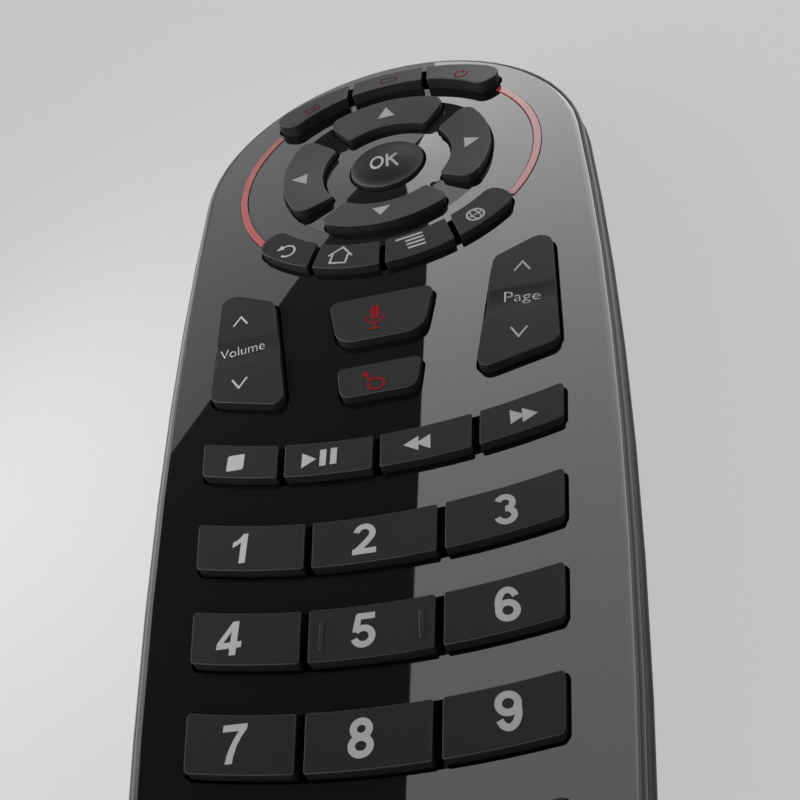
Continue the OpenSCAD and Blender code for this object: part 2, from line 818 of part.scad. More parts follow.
module arc_piece(i) {
    plain_key(lower_key(i), lower_key(i, key_gap + rim_w), key_h);
}

module key_back() {
    color(matt)
        arc_piece(0);
}

module key_home() {
    color(matt)
        arc_piece(1);
}

module key_menu() {
    color(matt)
        arc_piece(2);
}

module key_browser() {
    color(matt)
        arc_piece(3);
}

// rocker on the right: a dished band across its middle, and a round pin through it that it rocks on
dish_r = 6;
dish_d = 0.5;
module rocker_piece() {
    difference() {
        prism(rocker(), key_z, face_z + key_h);
        translate([0, ring_y + rock_y + 0.4, face_z + key_h + dish_r - dish_d])
            rotate([0, 90, 0])
                cylinder(r = dish_r, h = head_r);
    }
    translate([0.55 * rock_w, ring_y + rock_y, rock_z])
        rotate([0, 90, 0])
            cylinder(r = rim_t / 2, h = 0.455 * rock_w);
}

module volume_rocker() {
    color(matt)
        mirror([1, 0, 0])
            rocker_piece();
}

module page_rocker() {
    color(matt)
        rocker_piece();
}

module key_voice() {
    color(matt)
        plain_key(voice(), grown(voice(), key_gap + rim_w), key_h);
}

module key_pointer() {
    color(matt)
        plain_key(pointer(), grown(pointer(), key_gap + rim_w), key_h);
}

module player_piece(col) {
    plain_key(player_key(col), player_key(col, key_gap + rim_w), key_h);
}

module key_stop() {
    color(matt)
        player_piece(0);
}

module key_play_pause() {
    color(matt)
        player_piece(1);
}

module key_rewind() {
    color(matt)
        player_piece(2);
}

module key_forward() {
    color(matt)
        player_piece(3);
}

module number_piece(row, col) {
    plain_key(number_key(row, col), number_key(row, col, key_gap + rim_w), key_h);
}

module key_1() {
    color(matt)
        number_piece(0, 0);
}

module key_2() {
    color(matt)
        number_piece(0, 1);
}

module key_3() {
    color(matt)
        number_piece(0, 2);
}

module key_4() {
    color(matt)
        number_piece(1, 0);
}

// the middle number key carries two small raised marks
mark_x = 0.73 * third * pad_half;
mark_l = 2.8;
mark_y = ring_y + row_c - row_r - row_step + (row_d - mark_l) / 2;
module key_5() {
    color(matt) {
        number_piece(1, 1);
        for (m = [0, 1])
            mirror([m, 0, 0])
                translate([mark_x, mark_y, face_z + key_h - 0.1])
                    cube([0.3, mark_l, 0.3]);
    }
}

module key_6() {
    color(matt)
        number_piece(1, 2);
}

module key_7() {
    color(matt)
        number_piece(2, 0);
}

module key_8() {
    color(matt)
        number_piece(2, 1);
}

module key_9() {
    color(matt)
        number_piece(2, 2);
}

module key_keyboard() {
    color(matt)
        number_piece(3, 0);
}

module key_0() {
    color(matt)
        number_piece(3, 1);
}

module key_delete() {
    color(matt)
        number_piece(3, 2);
}

top_cover();
dpad_bezel();
bottom_case();
battery_door();
light_strip_left();
light_strip_right();
ir_window();
key_mat();
circuit_board();
contact_pads();
ir_emitter();
indicator_leds();
controller_chip();
motion_sensor();
crystal();
microphone();
battery_left();
battery_right();
head_contacts();
foot_contact();
case_screws();
key_input();
key_guide();
key_power();
key_up();
key_down();
key_left();
key_right();
key_ok();
key_back();
key_home();
key_menu();
key_browser();
volume_rocker();
page_rocker();
key_voice();
key_pointer();
key_stop();
key_play_pause();
key_rewind();
key_forward();
key_1();
key_2();
key_3();
key_4();
key_5();
key_6();
key_7();
key_8();
key_9();
key_keyboard();
key_0();
key_delete();
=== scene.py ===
import math

import bmesh
import bpy
from mathutils import Matrix, Vector
from mathutils.bvhtree import BVHTree


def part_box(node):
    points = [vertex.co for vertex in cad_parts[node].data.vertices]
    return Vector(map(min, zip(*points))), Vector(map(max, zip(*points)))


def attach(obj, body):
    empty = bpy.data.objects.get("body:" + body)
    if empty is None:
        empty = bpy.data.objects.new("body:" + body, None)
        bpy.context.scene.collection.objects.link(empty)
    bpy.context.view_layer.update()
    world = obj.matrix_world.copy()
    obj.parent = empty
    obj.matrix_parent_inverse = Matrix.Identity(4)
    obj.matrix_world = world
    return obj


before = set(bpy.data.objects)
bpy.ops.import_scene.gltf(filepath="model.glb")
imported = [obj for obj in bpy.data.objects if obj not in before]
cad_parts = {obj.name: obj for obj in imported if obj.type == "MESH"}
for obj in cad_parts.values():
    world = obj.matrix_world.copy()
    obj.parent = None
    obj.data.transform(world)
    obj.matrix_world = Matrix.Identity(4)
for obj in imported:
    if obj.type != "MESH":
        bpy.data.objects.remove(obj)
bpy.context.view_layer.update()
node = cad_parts

# Lower case and battery door: two shells, injection-moulded in black ABS. The case is
# screwed to the face from behind, and the door swings at the head end of the cell bay.
# The mould is spark-eroded: its fine grit turns the shine into a broad, dull sheen.
MM = 0.001
CASE_BLACK = "#151517"
CASE_CLOUD = "#18181a"
# Real mould grit is about 0.05 mm. Here and below it is drawn coarser, so that it shows.
CASE_GRIT_MM = 0.35
CASE_GRIT_DEPTH_MM = 0.012
CLOUD_MM = 9
GRIT_STRENGTH = 0.35
WELD_MM = 0.002
FLAT_DEG = 0.6
SHARP_DEG = 38
EDGE_STEPS = 3
SMOOTH_DEG = 32
CREASE_PLAY_DEG = 2


def linear(hex_colour):
    """sRGB hex to the linear colour that a shader takes."""
    parts = [int(hex_colour[i:i + 2], 16) / 255 for i in (1, 3, 5)]
    return [p / 12.92 if p <= 0.04045 else ((p + 0.055) / 1.055) ** 2.4 for p in parts] + [1.0]


def add(tree, kind, links=(), **settings):
    """Add a node, set its properties and sockets, and link its inputs."""
    made = tree.nodes.new(kind)
    for name, value in settings.items():
        if hasattr(made, name):
            setattr(made, name, value)
        else:
            made.inputs[name.replace("_", " ")].default_value = value
    for socket, source in links:
        tree.links.new(source, made.inputs[socket])
    return made


def new_material(name):
    """Empty material with its output node."""
    made = bpy.data.materials.new(name)
    made.use_nodes = True
    made.node_tree.nodes.clear()
    return made, made.node_tree, add(made.node_tree, "ShaderNodeOutputMaterial")


def moulded(name, colour, cloud, grit_mm, rough, depth_mm, spread=0.08, ior=1.5, metallic=0.0):
    """Surface with the grit of its mould: the colour clouds a little, and the sheen breaks up."""
    made, tree, out = new_material(name)
    place = add(tree, "ShaderNodeTexCoord").outputs["Object"]
    grit = add(tree, "ShaderNodeTexNoise", [("Vector", place)], Scale=1 / (grit_mm * MM), Detail=3.0)
    clouds = add(tree, "ShaderNodeTexNoise", [("Vector", place)], Scale=1 / (CLOUD_MM * MM), Detail=2.0)
    tone = add(tree, "ShaderNodeMix", [("Factor", clouds.outputs["Fac"])], data_type="RGBA",
               A=linear(colour), B=linear(cloud))
    sheen = add(tree, "ShaderNodeMapRange", [("Value", grit.outputs["Fac"])],
                To_Min=rough - spread, To_Max=rough + spread)
    relief = add(tree, "ShaderNodeBump", [("Height", grit.outputs["Fac"])],
                 Strength=GRIT_STRENGTH, Distance=depth_mm * MM)
    body = add(tree, "ShaderNodeBsdfPrincipled",
               [("Base Color", tone.outputs["Result"]), ("Roughness", sheen.outputs["Result"]),
                ("Normal", relief.outputs["Normal"])], IOR=ior, Metallic=metallic)
    tree.links.new(body.outputs["BSDF"], out.inputs["Surface"])
    return made


def mesh_nodes(name):
    """Empty geometry nodes group, and the socket of the mesh that comes in."""
    group = bpy.data.node_groups.new(name, "GeometryNodeTree")
    for way in ("INPUT", "OUTPUT"):
        group.interface.new_socket("Geometry", in_out=way, socket_type="NodeSocketGeometry")
    return group, add(group, "NodeGroupInput").outputs[0]


def smooth_shading(crease_deg=0.0):
    """Geometry nodes that shade smooth, but keep sharp edges and edges of the crease angle."""
    group, start = mesh_nodes("shade_smooth")
    angle = add(group, "GeometryNodeInputMeshEdgeAngle").outputs["Unsigned Angle"]
    sharp = add(group, "FunctionNodeCompare", [("A", angle)], data_type="FLOAT",
                operation="GREATER_THAN", B=math.radians(SMOOTH_DEG))
    crease = add(group, "FunctionNodeCompare", [("A", angle)], data_type="FLOAT", operation="EQUAL",
                 B=math.radians(crease_deg), Epsilon=math.radians(CREASE_PLAY_DEG if crease_deg else 0))
    kept = add(group, "FunctionNodeBooleanMath",
               [(0, sharp.outputs["Result"]), (1, crease.outputs["Result"])], operation="OR")
    faces = add(group, "GeometryNodeSetShadeSmooth", [("Geometry", start)], domain="FACE")
    edges = add(group, "GeometryNodeSetShadeSmooth",
                [("Geometry", faces.outputs[0]), ("Selection", kept.outputs[0])],
                domain="EDGE", Shade_Smooth=False)
    add(group, "NodeGroupOutput", [("Geometry", edges.outputs[0])])
    return group


SMOOTH = smooth_shading()


def dress(name, material, edge_mm=0.0, shading=SMOOTH, marked=None):
    """Give a CAD node its material, a small radius on its sharp or marked edges, and even shading."""
    piece = node[name]
    piece.data.materials.clear()
    piece.data.materials.append(material)
    piece.modifiers.new("weld", "WELD").merge_threshold = WELD_MM * MM
    if edge_mm:
        flat = piece.modifiers.new("flat_faces", "DECIMATE")
        flat.decimate_type = "DISSOLVE"
        flat.angle_limit = math.radians(FLAT_DEG)
        if marked:
            piece.modifiers.new("marked", "NODES").node_group = marked
        edge = piece.modifiers.new("edge", "BEVEL")
        edge.width = edge_mm * MM
        edge.segments = EDGE_STEPS
        edge.limit_method = "WEIGHT" if marked else "ANGLE"
        edge.angle_limit = math.radians(SHARP_DEG)
    piece.modifiers.new("even", "NODES").node_group = shading
    weight = piece.modifiers.new("weight", "WEIGHTED_NORMAL")
    weight.mode = "FACE_AREA"
    weight.weight = 100
    weight.keep_sharp = True


satin_case = moulded("satin_abs_case", CASE_BLACK, CASE_CLOUD, CASE_GRIT_MM, rough=0.4,
                     depth_mm=CASE_GRIT_DEPTH_MM, ior=1.34)
for name in ("bottom_case", "battery_door"):
    dress(name, satin_case)

# Face and bezel: black ABS with an acrylic skin, moulded against a mirror-finished tool.
# The case's screws hold the face, and the bezel is pressed into the middle of its ring.
# The polish mirrors the room sharply, and wiped fingerprints dull it in faint clouds.
FACE_BLACK = "#09090a"
FACE_CLOUD = "#0d0d0e"
FINGERPRINT_MM = 14
POLISHED_ROUGH = 0.008
FINGERPRINT_ROUGH = 0.03
CLEAN_BELOW, FINGERPRINT_ABOVE = 0.35, 0.8
RIM_STEP_DEG = 22.5
gloss, gloss_tree, gloss_out = new_material("polished_black_abs")
gloss_place = add(gloss_tree, "ShaderNodeTexCoord").outputs["Object"]
film = add(gloss_tree, "ShaderNodeTexNoise", [("Vector", gloss_place)],
           Scale=1 / (FINGERPRINT_MM * MM), Detail=5.0, Roughness=0.65).outputs["Fac"]
haze = add(gloss_tree, "ShaderNodeMapRange", [("Value", film)],
           From_Min=CLEAN_BELOW, From_Max=FINGERPRINT_ABOVE,
           To_Min=POLISHED_ROUGH, To_Max=FINGERPRINT_ROUGH)
gloss_tone = add(gloss_tree, "ShaderNodeMix", [("Factor", film)], data_type="RGBA",
                 A=linear(FACE_BLACK), B=linear(FACE_CLOUD))
gloss_body = add(gloss_tree, "ShaderNodeBsdfPrincipled",
                 [("Base Color", gloss_tone.outputs["Result"]), ("Roughness", haze.outputs["Result"])], IOR=1.52)
gloss_tree.links.new(gloss_body.outputs["BSDF"], gloss_out.inputs["Surface"])
# The rolled rim meets the flat face at half a step: a crease there keeps the mirror flat.
dress("top_cover", gloss, shading=smooth_shading(RIM_STEP_DEG / 2))
dress("dpad_bezel", gloss)

# Light strips: two curved light guides of red-tinted acrylic, pressed into grooves around
# the ring and lit from the board. Unlit, they show a clouded red under a clear shine.
STRIP_RED = "#872a28"
STRIP_CLOUD = "#913230"
STRIP_CLOUD_MM = 3
STRIP_EDGE_MM = 0.06
strip, strip_tree, strip_out = new_material("red_acrylic_light_guide")
strip_place = add(strip_tree, "ShaderNodeTexCoord").outputs["Object"]
strip_clouds = add(strip_tree, "ShaderNodeTexNoise", [("Vector", strip_place)], Scale=1 / (STRIP_CLOUD_MM * MM))
strip_tone = add(strip_tree, "ShaderNodeMix", [("Factor", strip_clouds.outputs["Fac"])], data_type="RGBA",
                 A=linear(STRIP_RED), B=linear(STRIP_CLOUD))
strip_body = add(strip_tree, "ShaderNodeBsdfPrincipled", [("Base Color", strip_tone.outputs["Result"])],
                 Roughness=0.12, IOR=1.49)
strip_tree.links.new(strip_body.outputs["BSDF"], strip_out.inputs["Surface"])
for name in ("light_strip_left", "light_strip_right"):
    dress(name, strip, STRIP_EDGE_MM)

# Infrared window: a plate of polycarbonate in the head end, dyed so dark that only
# infrared light passes. It is moulded smooth, and shines like very dark red glass.
dyed_window = moulded("dyed_polycarbonate", "#1a0408", "#22060a", grit_mm=2.0, rough=0.09,
                      depth_mm=0.002, spread=0.03)
dress("ir_window", dyed_window)

# Key sheet: one sheet of grey silicone rubber with a dome under each key, held between
# the face and the board. Its skin is dry and dull, with hardly any shine.
dress("key_mat", moulded("silicone_sheet", "#5c5c5e", "#646466", grit_mm=0.4, rough=0.6, depth_mm=0.01))

# Circuit board: glass-fibre board under green lacquer, whose weave just shows as a grain.
# The pads under the domes are plated with thin gold, which looks warm and half matt.
solder_mask = moulded("green_solder_mask", "#0f5a30", "#14683a", grit_mm=0.6, rough=0.35, depth_mm=0.01)
dress("circuit_board", solder_mask)
gold_plate = moulded("thin_gold_plate", "#c9a24a", "#d2ad58", grit_mm=0.3, rough=0.3,
                     depth_mm=0.004, metallic=1.0)
dress("contact_pads", gold_plate)

# Parts on the board: chips cast in dull black epoxy, a crystal and a microphone in bright
# tinned cans, and an emitter and lamps cast in clear epoxy. All are soldered on.
CHIP_EDGE_MM = 0.1
chip_epoxy = moulded("moulded_chip_epoxy", "#141414", "#1a1a1a", grit_mm=0.2, rough=0.5, depth_mm=0.01)
for name in ("controller_chip", "motion_sensor"):
    dress(name, chip_epoxy, CHIP_EDGE_MM)
tin_plate = moulded("bright_tin_plate", "#b8b8ba", "#c4c4c6", grit_mm=0.3, rough=0.25,
                    depth_mm=0.004, metallic=1.0)
for name in ("crystal", "microphone"):
    dress(name, tin_plate)
lens_epoxy = moulded("clear_epoxy_lens", "#8c8c9a", "#9a9aa8", grit_mm=1.0, rough=0.12, depth_mm=0.003)
for name in ("ir_emitter", "indicator_leds"):
    dress(name, lens_epoxy)

# Cells, contacts and screws: two AAA cells in glossy printed film lie between bent strips
# of tinned spring steel. Four plated screws hold the case to the face.
CELL_EDGE_MM = 0.3
cell_film = moulded("printed_cell_jacket", "#2c4f46", "#335a50", grit_mm=1.0, rough=0.3, depth_mm=0.004)
for name in ("battery_left", "battery_right"):
    dress(name, cell_film, CELL_EDGE_MM)
for name in ("head_contacts", "foot_contact", "case_screws"):
    dress(name, tin_plate)

# Keys: hard caps moulded in charcoal ABS, each on its rubber dome. A fine eroded finish
# scatters the light, so they look dull; the arrow keys and the upper keys are a little
# smoother, and show a satin sheen. The rounded edges are painted paler: partly rubbing
# wear, partly a painted highlight that stands in for the glint along the edges.
KEY_CHARCOAL = "#19191a"
KEY_CLOUD = "#1d1d1e"
# Paler colour of the rounded key edges: rubbing wear and a painted highlight.
KEY_WEAR_AND_HIGHLIGHT = "#3e3e40"
KEY_GRIT_MM = 0.3
KEY_GRIT_DEPTH_MM = 0.008
KEY_EDGE_MM = 0.16
WALL_LEAN = (0.15, 0.4)
TOP_LEAN = (0.88, 0.78)
# The radius starts 1.5 mm under the face, above the thin flange that the face covers.
ROUNDED_FROM_MM = 1.5
SATIN_KEYS = ("key_up", "key_down", "key_left", "key_right", "key_input", "key_guide", "key_power")


def key_plastic(name, rough, ior):
    """Charcoal ABS, painted paler where the surface leans between a wall and a top: rubbing wear and a painted
    highlight.
    """
    made = moulded(name, KEY_CHARCOAL, KEY_CLOUD, KEY_GRIT_MM, rough, KEY_GRIT_DEPTH_MM, ior=ior)
    tree = made.node_tree
    colour = tree.nodes["Principled BSDF"].inputs["Base Color"]
    lean = add(tree, "ShaderNodeSeparateXYZ", [(0, add(tree, "ShaderNodeNewGeometry").outputs["Normal"])])
    off_wall = add(tree, "ShaderNodeMapRange", [("Value", lean.outputs["Z"])],
                   From_Min=WALL_LEAN[0], From_Max=WALL_LEAN[1])
    off_top = add(tree, "ShaderNodeMapRange", [("Value", lean.outputs["Z"])],
                  From_Min=TOP_LEAN[0], From_Max=TOP_LEAN[1])
    # Mask of the rounded edges, where the paler colour paints wear and a highlight.
    wear_and_highlight = add(tree, "ShaderNodeMath", [(0, off_wall.outputs[0]), (1, off_top.outputs[0])],
                 operation="MULTIPLY")
    tone = add(tree, "ShaderNodeMix", [("Factor", wear_and_highlight.outputs[0]), ("A", colour.links[0].from_socket)],
               data_type="RGBA", B=linear(KEY_WEAR_AND_HIGHLIGHT))
    tree.links.new(tone.outputs["Result"], colour)
    return made


def edges_above(level):
    """Geometry nodes that mark the sharp edges above a level, for the radius that follows."""
    group, start = mesh_nodes("edges_above")
    angle = add(group, "GeometryNodeInputMeshEdgeAngle").outputs["Unsigned Angle"]
    sharp = add(group, "FunctionNodeCompare", [("A", angle)], data_type="FLOAT",
                operation="GREATER_THAN", B=math.radians(SHARP_DEG))
    place = add(group, "ShaderNodeSeparateXYZ", [(0, add(group, "GeometryNodeInputPosition").outputs[0])])
    high = add(group, "FunctionNodeCompare", [("A", place.outputs["Z"])], data_type="FLOAT",
               operation="GREATER_THAN", B=level)
    both = add(group, "FunctionNodeBooleanMath",
               [(0, sharp.outputs["Result"]), (1, high.outputs["Result"])], operation="AND")
    mark = add(group, "GeometryNodeStoreNamedAttribute", [("Geometry", start), ("Value", both.outputs[0])],
               data_type="FLOAT", domain="EDGE", Name="bevel_weight_edge")
    add(group, "NodeGroupOutput", [("Geometry", mark.outputs[0])])
    return group


matt_key = key_plastic("matt_charcoal_abs", rough=0.5, ior=1.19)
satin_key = key_plastic("satin_charcoal_abs", rough=0.4, ior=1.28)
shown_edges = edges_above(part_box("top_cover")[1].z - ROUNDED_FROM_MM * MM)
keys = [name for name in node if name.startswith("key_") and name != "key_mat"]
for name in keys + ["volume_rocker", "page_rocker"]:
    dress(name, satin_key if name in SATIN_KEYS else matt_key, KEY_EDGE_MM, marked=shown_edges)

# Signs: pad-printed ink on the keys, about 20 micrometres thick, pale grey on most keys
# and dark red on a few. The ink covers a little unevenly and hardly shines. Each stroke
# lies on its key's own top; all places are in millimetres from the middle of the ring.
INK_LIFT_MM = 0.012
INK_THICK_MM = 0.02
INK_LAYER_MM = 0.006
INK_WELD_MM = 0.004
INK_STEP_MM = 0.5
INK_SPLITS = 3
INK_GRIT_MM = 0.5
strip_low, strip_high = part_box("light_strip_left")
ring = Vector((0, strip_low.y + strip_high.y)) / 2


def ink(name, colour, worn):
    """Printed ink, a little uneven in cover and almost without shine."""
    return moulded(name, colour, worn, INK_GRIT_MM, rough=0.6, depth_mm=0.003, ior=1.12)


grey_ink = ink("pale_grey_pad_print", "#a0a0a2", "#969698")
red_ink = ink("dark_red_pad_print", "#74121a", "#681018")
faint_ink = ink("faint_red_pad_print", "#4a2022", "#421e20")


def turn(shapes, degrees, x, y, size=1.0):
    """Shapes scaled, turned and moved to their place."""
    c, s = math.cos(math.radians(degrees)) * size, math.sin(math.radians(degrees)) * size
    return [[[(x + c * p[0] - s * p[1], y + s * p[0] + c * p[1]) for p in outline] for outline in shape]
            for shape in shapes]


def bow(x, y, wide, start, end, high=None, steps=24):
    """Points on an arc, or on part of an oval."""
    return [(x + wide * math.cos(math.radians(start + (end - start) * i / steps)),
             y + (high or wide) * math.sin(math.radians(start + (end - start) * i / steps)))
            for i in range(steps + 1)]


def ribbon(points, width, closed=False):
    """Shape of a stroke of even width along the points."""
    if closed:
        points = points[:-1]
    left, right, n = [], [], len(points)
    for i in range(n):
        here = Vector(points[i])
        before = Vector(points[i - 1]) if closed or i else None
        after = Vector(points[(i + 1) % n]) if closed or i < n - 1 else None
        a = (here - before).normalized() if before else (after - here).normalized()
        b = (after - here).normalized() if after else a
        na, nb = Vector((-a.y, a.x)), Vector((-b.y, b.x))
        off = (na + nb) / (1 + na.dot(nb)) * width / 2
        left.append(tuple(here + off))
        right.append(tuple(here - off))
    return [left, right] if closed else [left + right[::-1]]


def flat_mesh(curve):
    """Filled mesh of a flat curve."""
    holder = bpy.data.objects.new("sign", curve)
    bpy.context.scene.collection.objects.link(holder)
    made = bpy.data.meshes.new_from_object(holder.evaluated_get(bpy.context.evaluated_depsgraph_get()))
    bpy.data.objects.remove(holder)
    return made


def drawn(shapes):
    """Flat form of shapes, each a hair above the last, so that crossing strokes join."""
    form = bmesh.new()
    for layer, shape in enumerate(shapes):
        curve = bpy.data.curves.new("sign", "CURVE")
        curve.dimensions = "2D"
        curve.fill_mode = "BOTH"
        for outline in shape:
            line = curve.splines.new("POLY")
            line.points.add(len(outline) - 1)
            for point, (x, y) in zip(line.points, outline):
                point.co = (x * MM, y * MM, 0, 1)
            line.use_cyclic_u = True
        stroke = flat_mesh(curve)
        stroke.transform(Matrix.Translation((0, 0, layer * INK_LAYER_MM * MM)))
        form.from_mesh(stroke)
    return form


def printed(key, form, material, name=""):
    """Ink on a key: a flat form is laid down on the key's own top."""
    form.transform(Matrix.Translation((ring.x, ring.y, 0)))
    bmesh.ops.remove_doubles(form, verts=form.verts, dist=INK_WELD_MM * MM)
    bmesh.ops.triangulate(form, faces=form.faces)
    for _ in range(INK_SPLITS):
        long_edges = [e for e in form.edges if e.calc_length() > INK_STEP_MM * MM]
        bmesh.ops.subdivide_edges(form, edges=long_edges, cuts=1)
        bmesh.ops.triangulate(form, faces=form.faces)
    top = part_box(key)[1].z
    cap = node[key].data
    tree = BVHTree.FromPolygons([v.co for v in cap.vertices], [p.vertices for p in cap.polygons])
    for v in form.verts:
        hit = tree.ray_cast(Vector((v.co.x, v.co.y, top + MM)), Vector((0, 0, -1)))[0]
        v.co.z += (hit.z if hit else top) + INK_LIFT_MM * MM
    for face in form.faces:
        face.normal_update()
        if face.normal.z < 0:
            face.normal_flip()
    mesh = bpy.data.meshes.new("print_" + key + name)
    form.to_mesh(mesh)
    form.free()
    piece = bpy.data.objects.new("print_" + key + name, mesh)
    bpy.context.scene.collection.objects.link(piece)
    mesh.materials.append(material)
    thick = piece.modifiers.new("ink", "SOLIDIFY")
    thick.thickness = INK_THICK_MM * MM
    thick.offset = 1
    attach(piece, key)


# Signs of the ring: a solid arrow on each of the four direction keys, and two letters on
# the domed middle key. Both are printed in pale grey.
ARROW = [[[(-1.3, -1.1), (1.3, -1.1), (0, 1.15)]]]
for key, x, y, angle in (("key_up", -0.1, 12.85, 0), ("key_left", -13.1, -0.35, 90),
                         ("key_down", -0.4, -12.25, 180), ("key_right", 12.85, -0.15, 270)):
    printed(key, drawn(turn(ARROW, angle, x, y)), grey_ink)
LETTERS_HIGH = 2.5
LETTERS = [ribbon(bow(-0.42, 0.5, 0.36, 0, 360, 0.42), 0.15, True), ribbon([(0.2, 0), (0.2, 1)], 0.16),
           ribbon([(0.76, 1.0), (0.24, 0.44)], 0.17), ribbon([(0.38, 0.58), (0.8, 0)], 0.17)]
printed("key_ok", drawn(turn(LETTERS, 0, 0.0, -2.65, LETTERS_HIGH)), grey_ink)

# Signs below the ring: go back, start page, list and world pages. They are thin pale grey
# strokes, and each is turned with its key around the ring.
BACK = [ribbon(bow(0, 0, 1.1, 150, -115), 0.3), [[(-1.6, -0.1), (-0.5, 0.4), (-1.25, 1.1)]]]
printed("key_back", drawn(turn(BACK, -18, -13.5, -17.3)), grey_ink)
HOUSE = [ribbon([(-1.7, 0), (0, 1.75), (1.7, 0)], 0.28),
         ribbon([(-1.1, 0.35), (-1.1, -1.4), (1.1, -1.4), (1.1, 0.35)], 0.28)]
printed("key_home", drawn(turn(HOUSE, -13, -5.8, -20.7)), grey_ink)
LINES = [ribbon([(left, y), (1.6, y)], 0.36)
         for left, y in ((-2.1, 1.2), (-0.9, 0.42), (-0.85, -0.36), (-0.8, -1.14))]
printed("key_menu", drawn(turn(LINES, 10.5, 4.1, -20.8)), grey_ink)
GLOBE = [ribbon(bow(0, 0, 1.15, 0, 360), 0.3, True), ribbon([(-1.1, 0), (1.1, 0)], 0.22),
         ribbon(bow(0, 0, 0.5, 0, 360, 1.1), 0.2, True)]
printed("key_browser", drawn(turn(GLOBE, 30, 12.6, -17.9)), grey_ink)

# Signs of the rockers: a word in the middle dip, and a thin chevron at either end. They
# are printed in pale grey, and each word follows the lean of its rocker.
WORD_THIN_MM = 0.007


def word(text, start, end, height):
    """Flat form of a word that runs along its base line from start to end."""
    curve = bpy.data.curves.new("sign", "FONT")
    curve.body = text
    curve.size = MM
    curve.offset = -WORD_THIN_MM * MM
    curve.resolution_u = 4
    form = bmesh.new()
    form.from_mesh(flat_mesh(curve))
    reach = [v.co.x for v in form.verts]
    capital = max(v.co.y for v in form.verts)
    run = Vector(end) - Vector(start)
    squeeze = Matrix.Diagonal((run.length * MM / (max(reach) - min(reach)), height * MM / capital, 1, 1))
    lean = Matrix.Rotation(math.atan2(run.y, run.x), 4, "Z")
    form.transform(Matrix.Translation((start[0] * MM, start[1] * MM, 0)) @ lean @ squeeze
                   @ Matrix.Translation((-min(reach), 0, 0)))
    return form


CHEVRON = [ribbon([(-0.95, -0.8), (0, 0.75), (0.95, -0.8)], 0.25)]
for rocker, upper, lower in (("volume_rocker", (3, -18.65, -29.9), (183, -17.45, -41.3)),
                             ("page_rocker", (-7, 17.85, -29.95), (173, 16.55, -41.3))):
    printed(rocker, drawn(turn(CHEVRON, *upper) + turn(CHEVRON, *lower)), grey_ink)
printed("volume_rocker", word("Volume", (-20.8, -36.0), (-14.95, -35.45), 1.42), grey_ink, "_word")
printed("page_rocker", word("Page", (15.15, -35.4), (19.45, -36.0), 1.5), grey_ink, "_word")

# Signs of the speech and pointer keys: a microphone on its stand and a pointing hand.
# They are printed in dark red, the hand in thin strokes.
VOICE = [[bow(0, 1.25, 0.58, 0, 180) + bow(0, -0.1, 0.58, 180, 360)],
         ribbon(bow(0, -0.1, 1.15, 172, 368), 0.24), ribbon([(0, -1.2), (0, -2.2)], 0.3),
         ribbon([(-0.75, -2.3), (0.75, -2.3)], 0.28)]
printed("key_voice", drawn(turn(VOICE, 0, -0.65, -33.8)), red_ink)
HAND = [[bow(-1.3, 1.75, 0.42, 0, 360)], ribbon([(-1.3, 1.75), (-0.72, 0.62)], 0.3),
        ribbon(bow(0.05, -0.05, 0.95, 145, -195, 0.85), 0.3)]
printed("key_pointer", drawn(turn(HAND, 0, -0.25, -45.4)), red_ink)

# Signs of the player keys: stop, play or pause, back and forward. They are the common
# solid shapes of a player, printed in pale grey.
STOP_ROUND = 0.25
STOP = [[bow(0.75, 0.85, STOP_ROUND, 0, 90, steps=4) + bow(-0.75, 0.85, STOP_ROUND, 90, 180, steps=4)
         + bow(-0.75, -0.85, STOP_ROUND, 180, 270, steps=4) + bow(0.75, -0.85, STOP_ROUND, 270, 360, steps=4)]]
printed("key_stop", drawn(turn(STOP, 0, -16.3, -53.85)), grey_ink)
PLAY = [[[(-2, -1.0), (-0.35, 0), (-2, 1.1)]], ribbon([(0.42, -1.1), (0.42, 1.15)], 0.74),
        ribbon([(1.63, -1.1), (1.63, 1.15)], 0.74)]
printed("key_play_pause", drawn(turn(PLAY, 0, -6.4, -55.25)), grey_ink)
DOUBLE = [[[(-1.45, -1.0), (-0.15, -0.2), (-0.15, -1.0), (1.5, 0), (-0.15, 1.0), (-0.15, 0.2), (-1.45, 1.0)]]]
printed("key_rewind", drawn(turn(DOUBLE, 180, 4.55, -55.4)), grey_ink)
printed("key_forward", drawn(turn(DOUBLE, 0, 16.1, -53.95)), grey_ink)

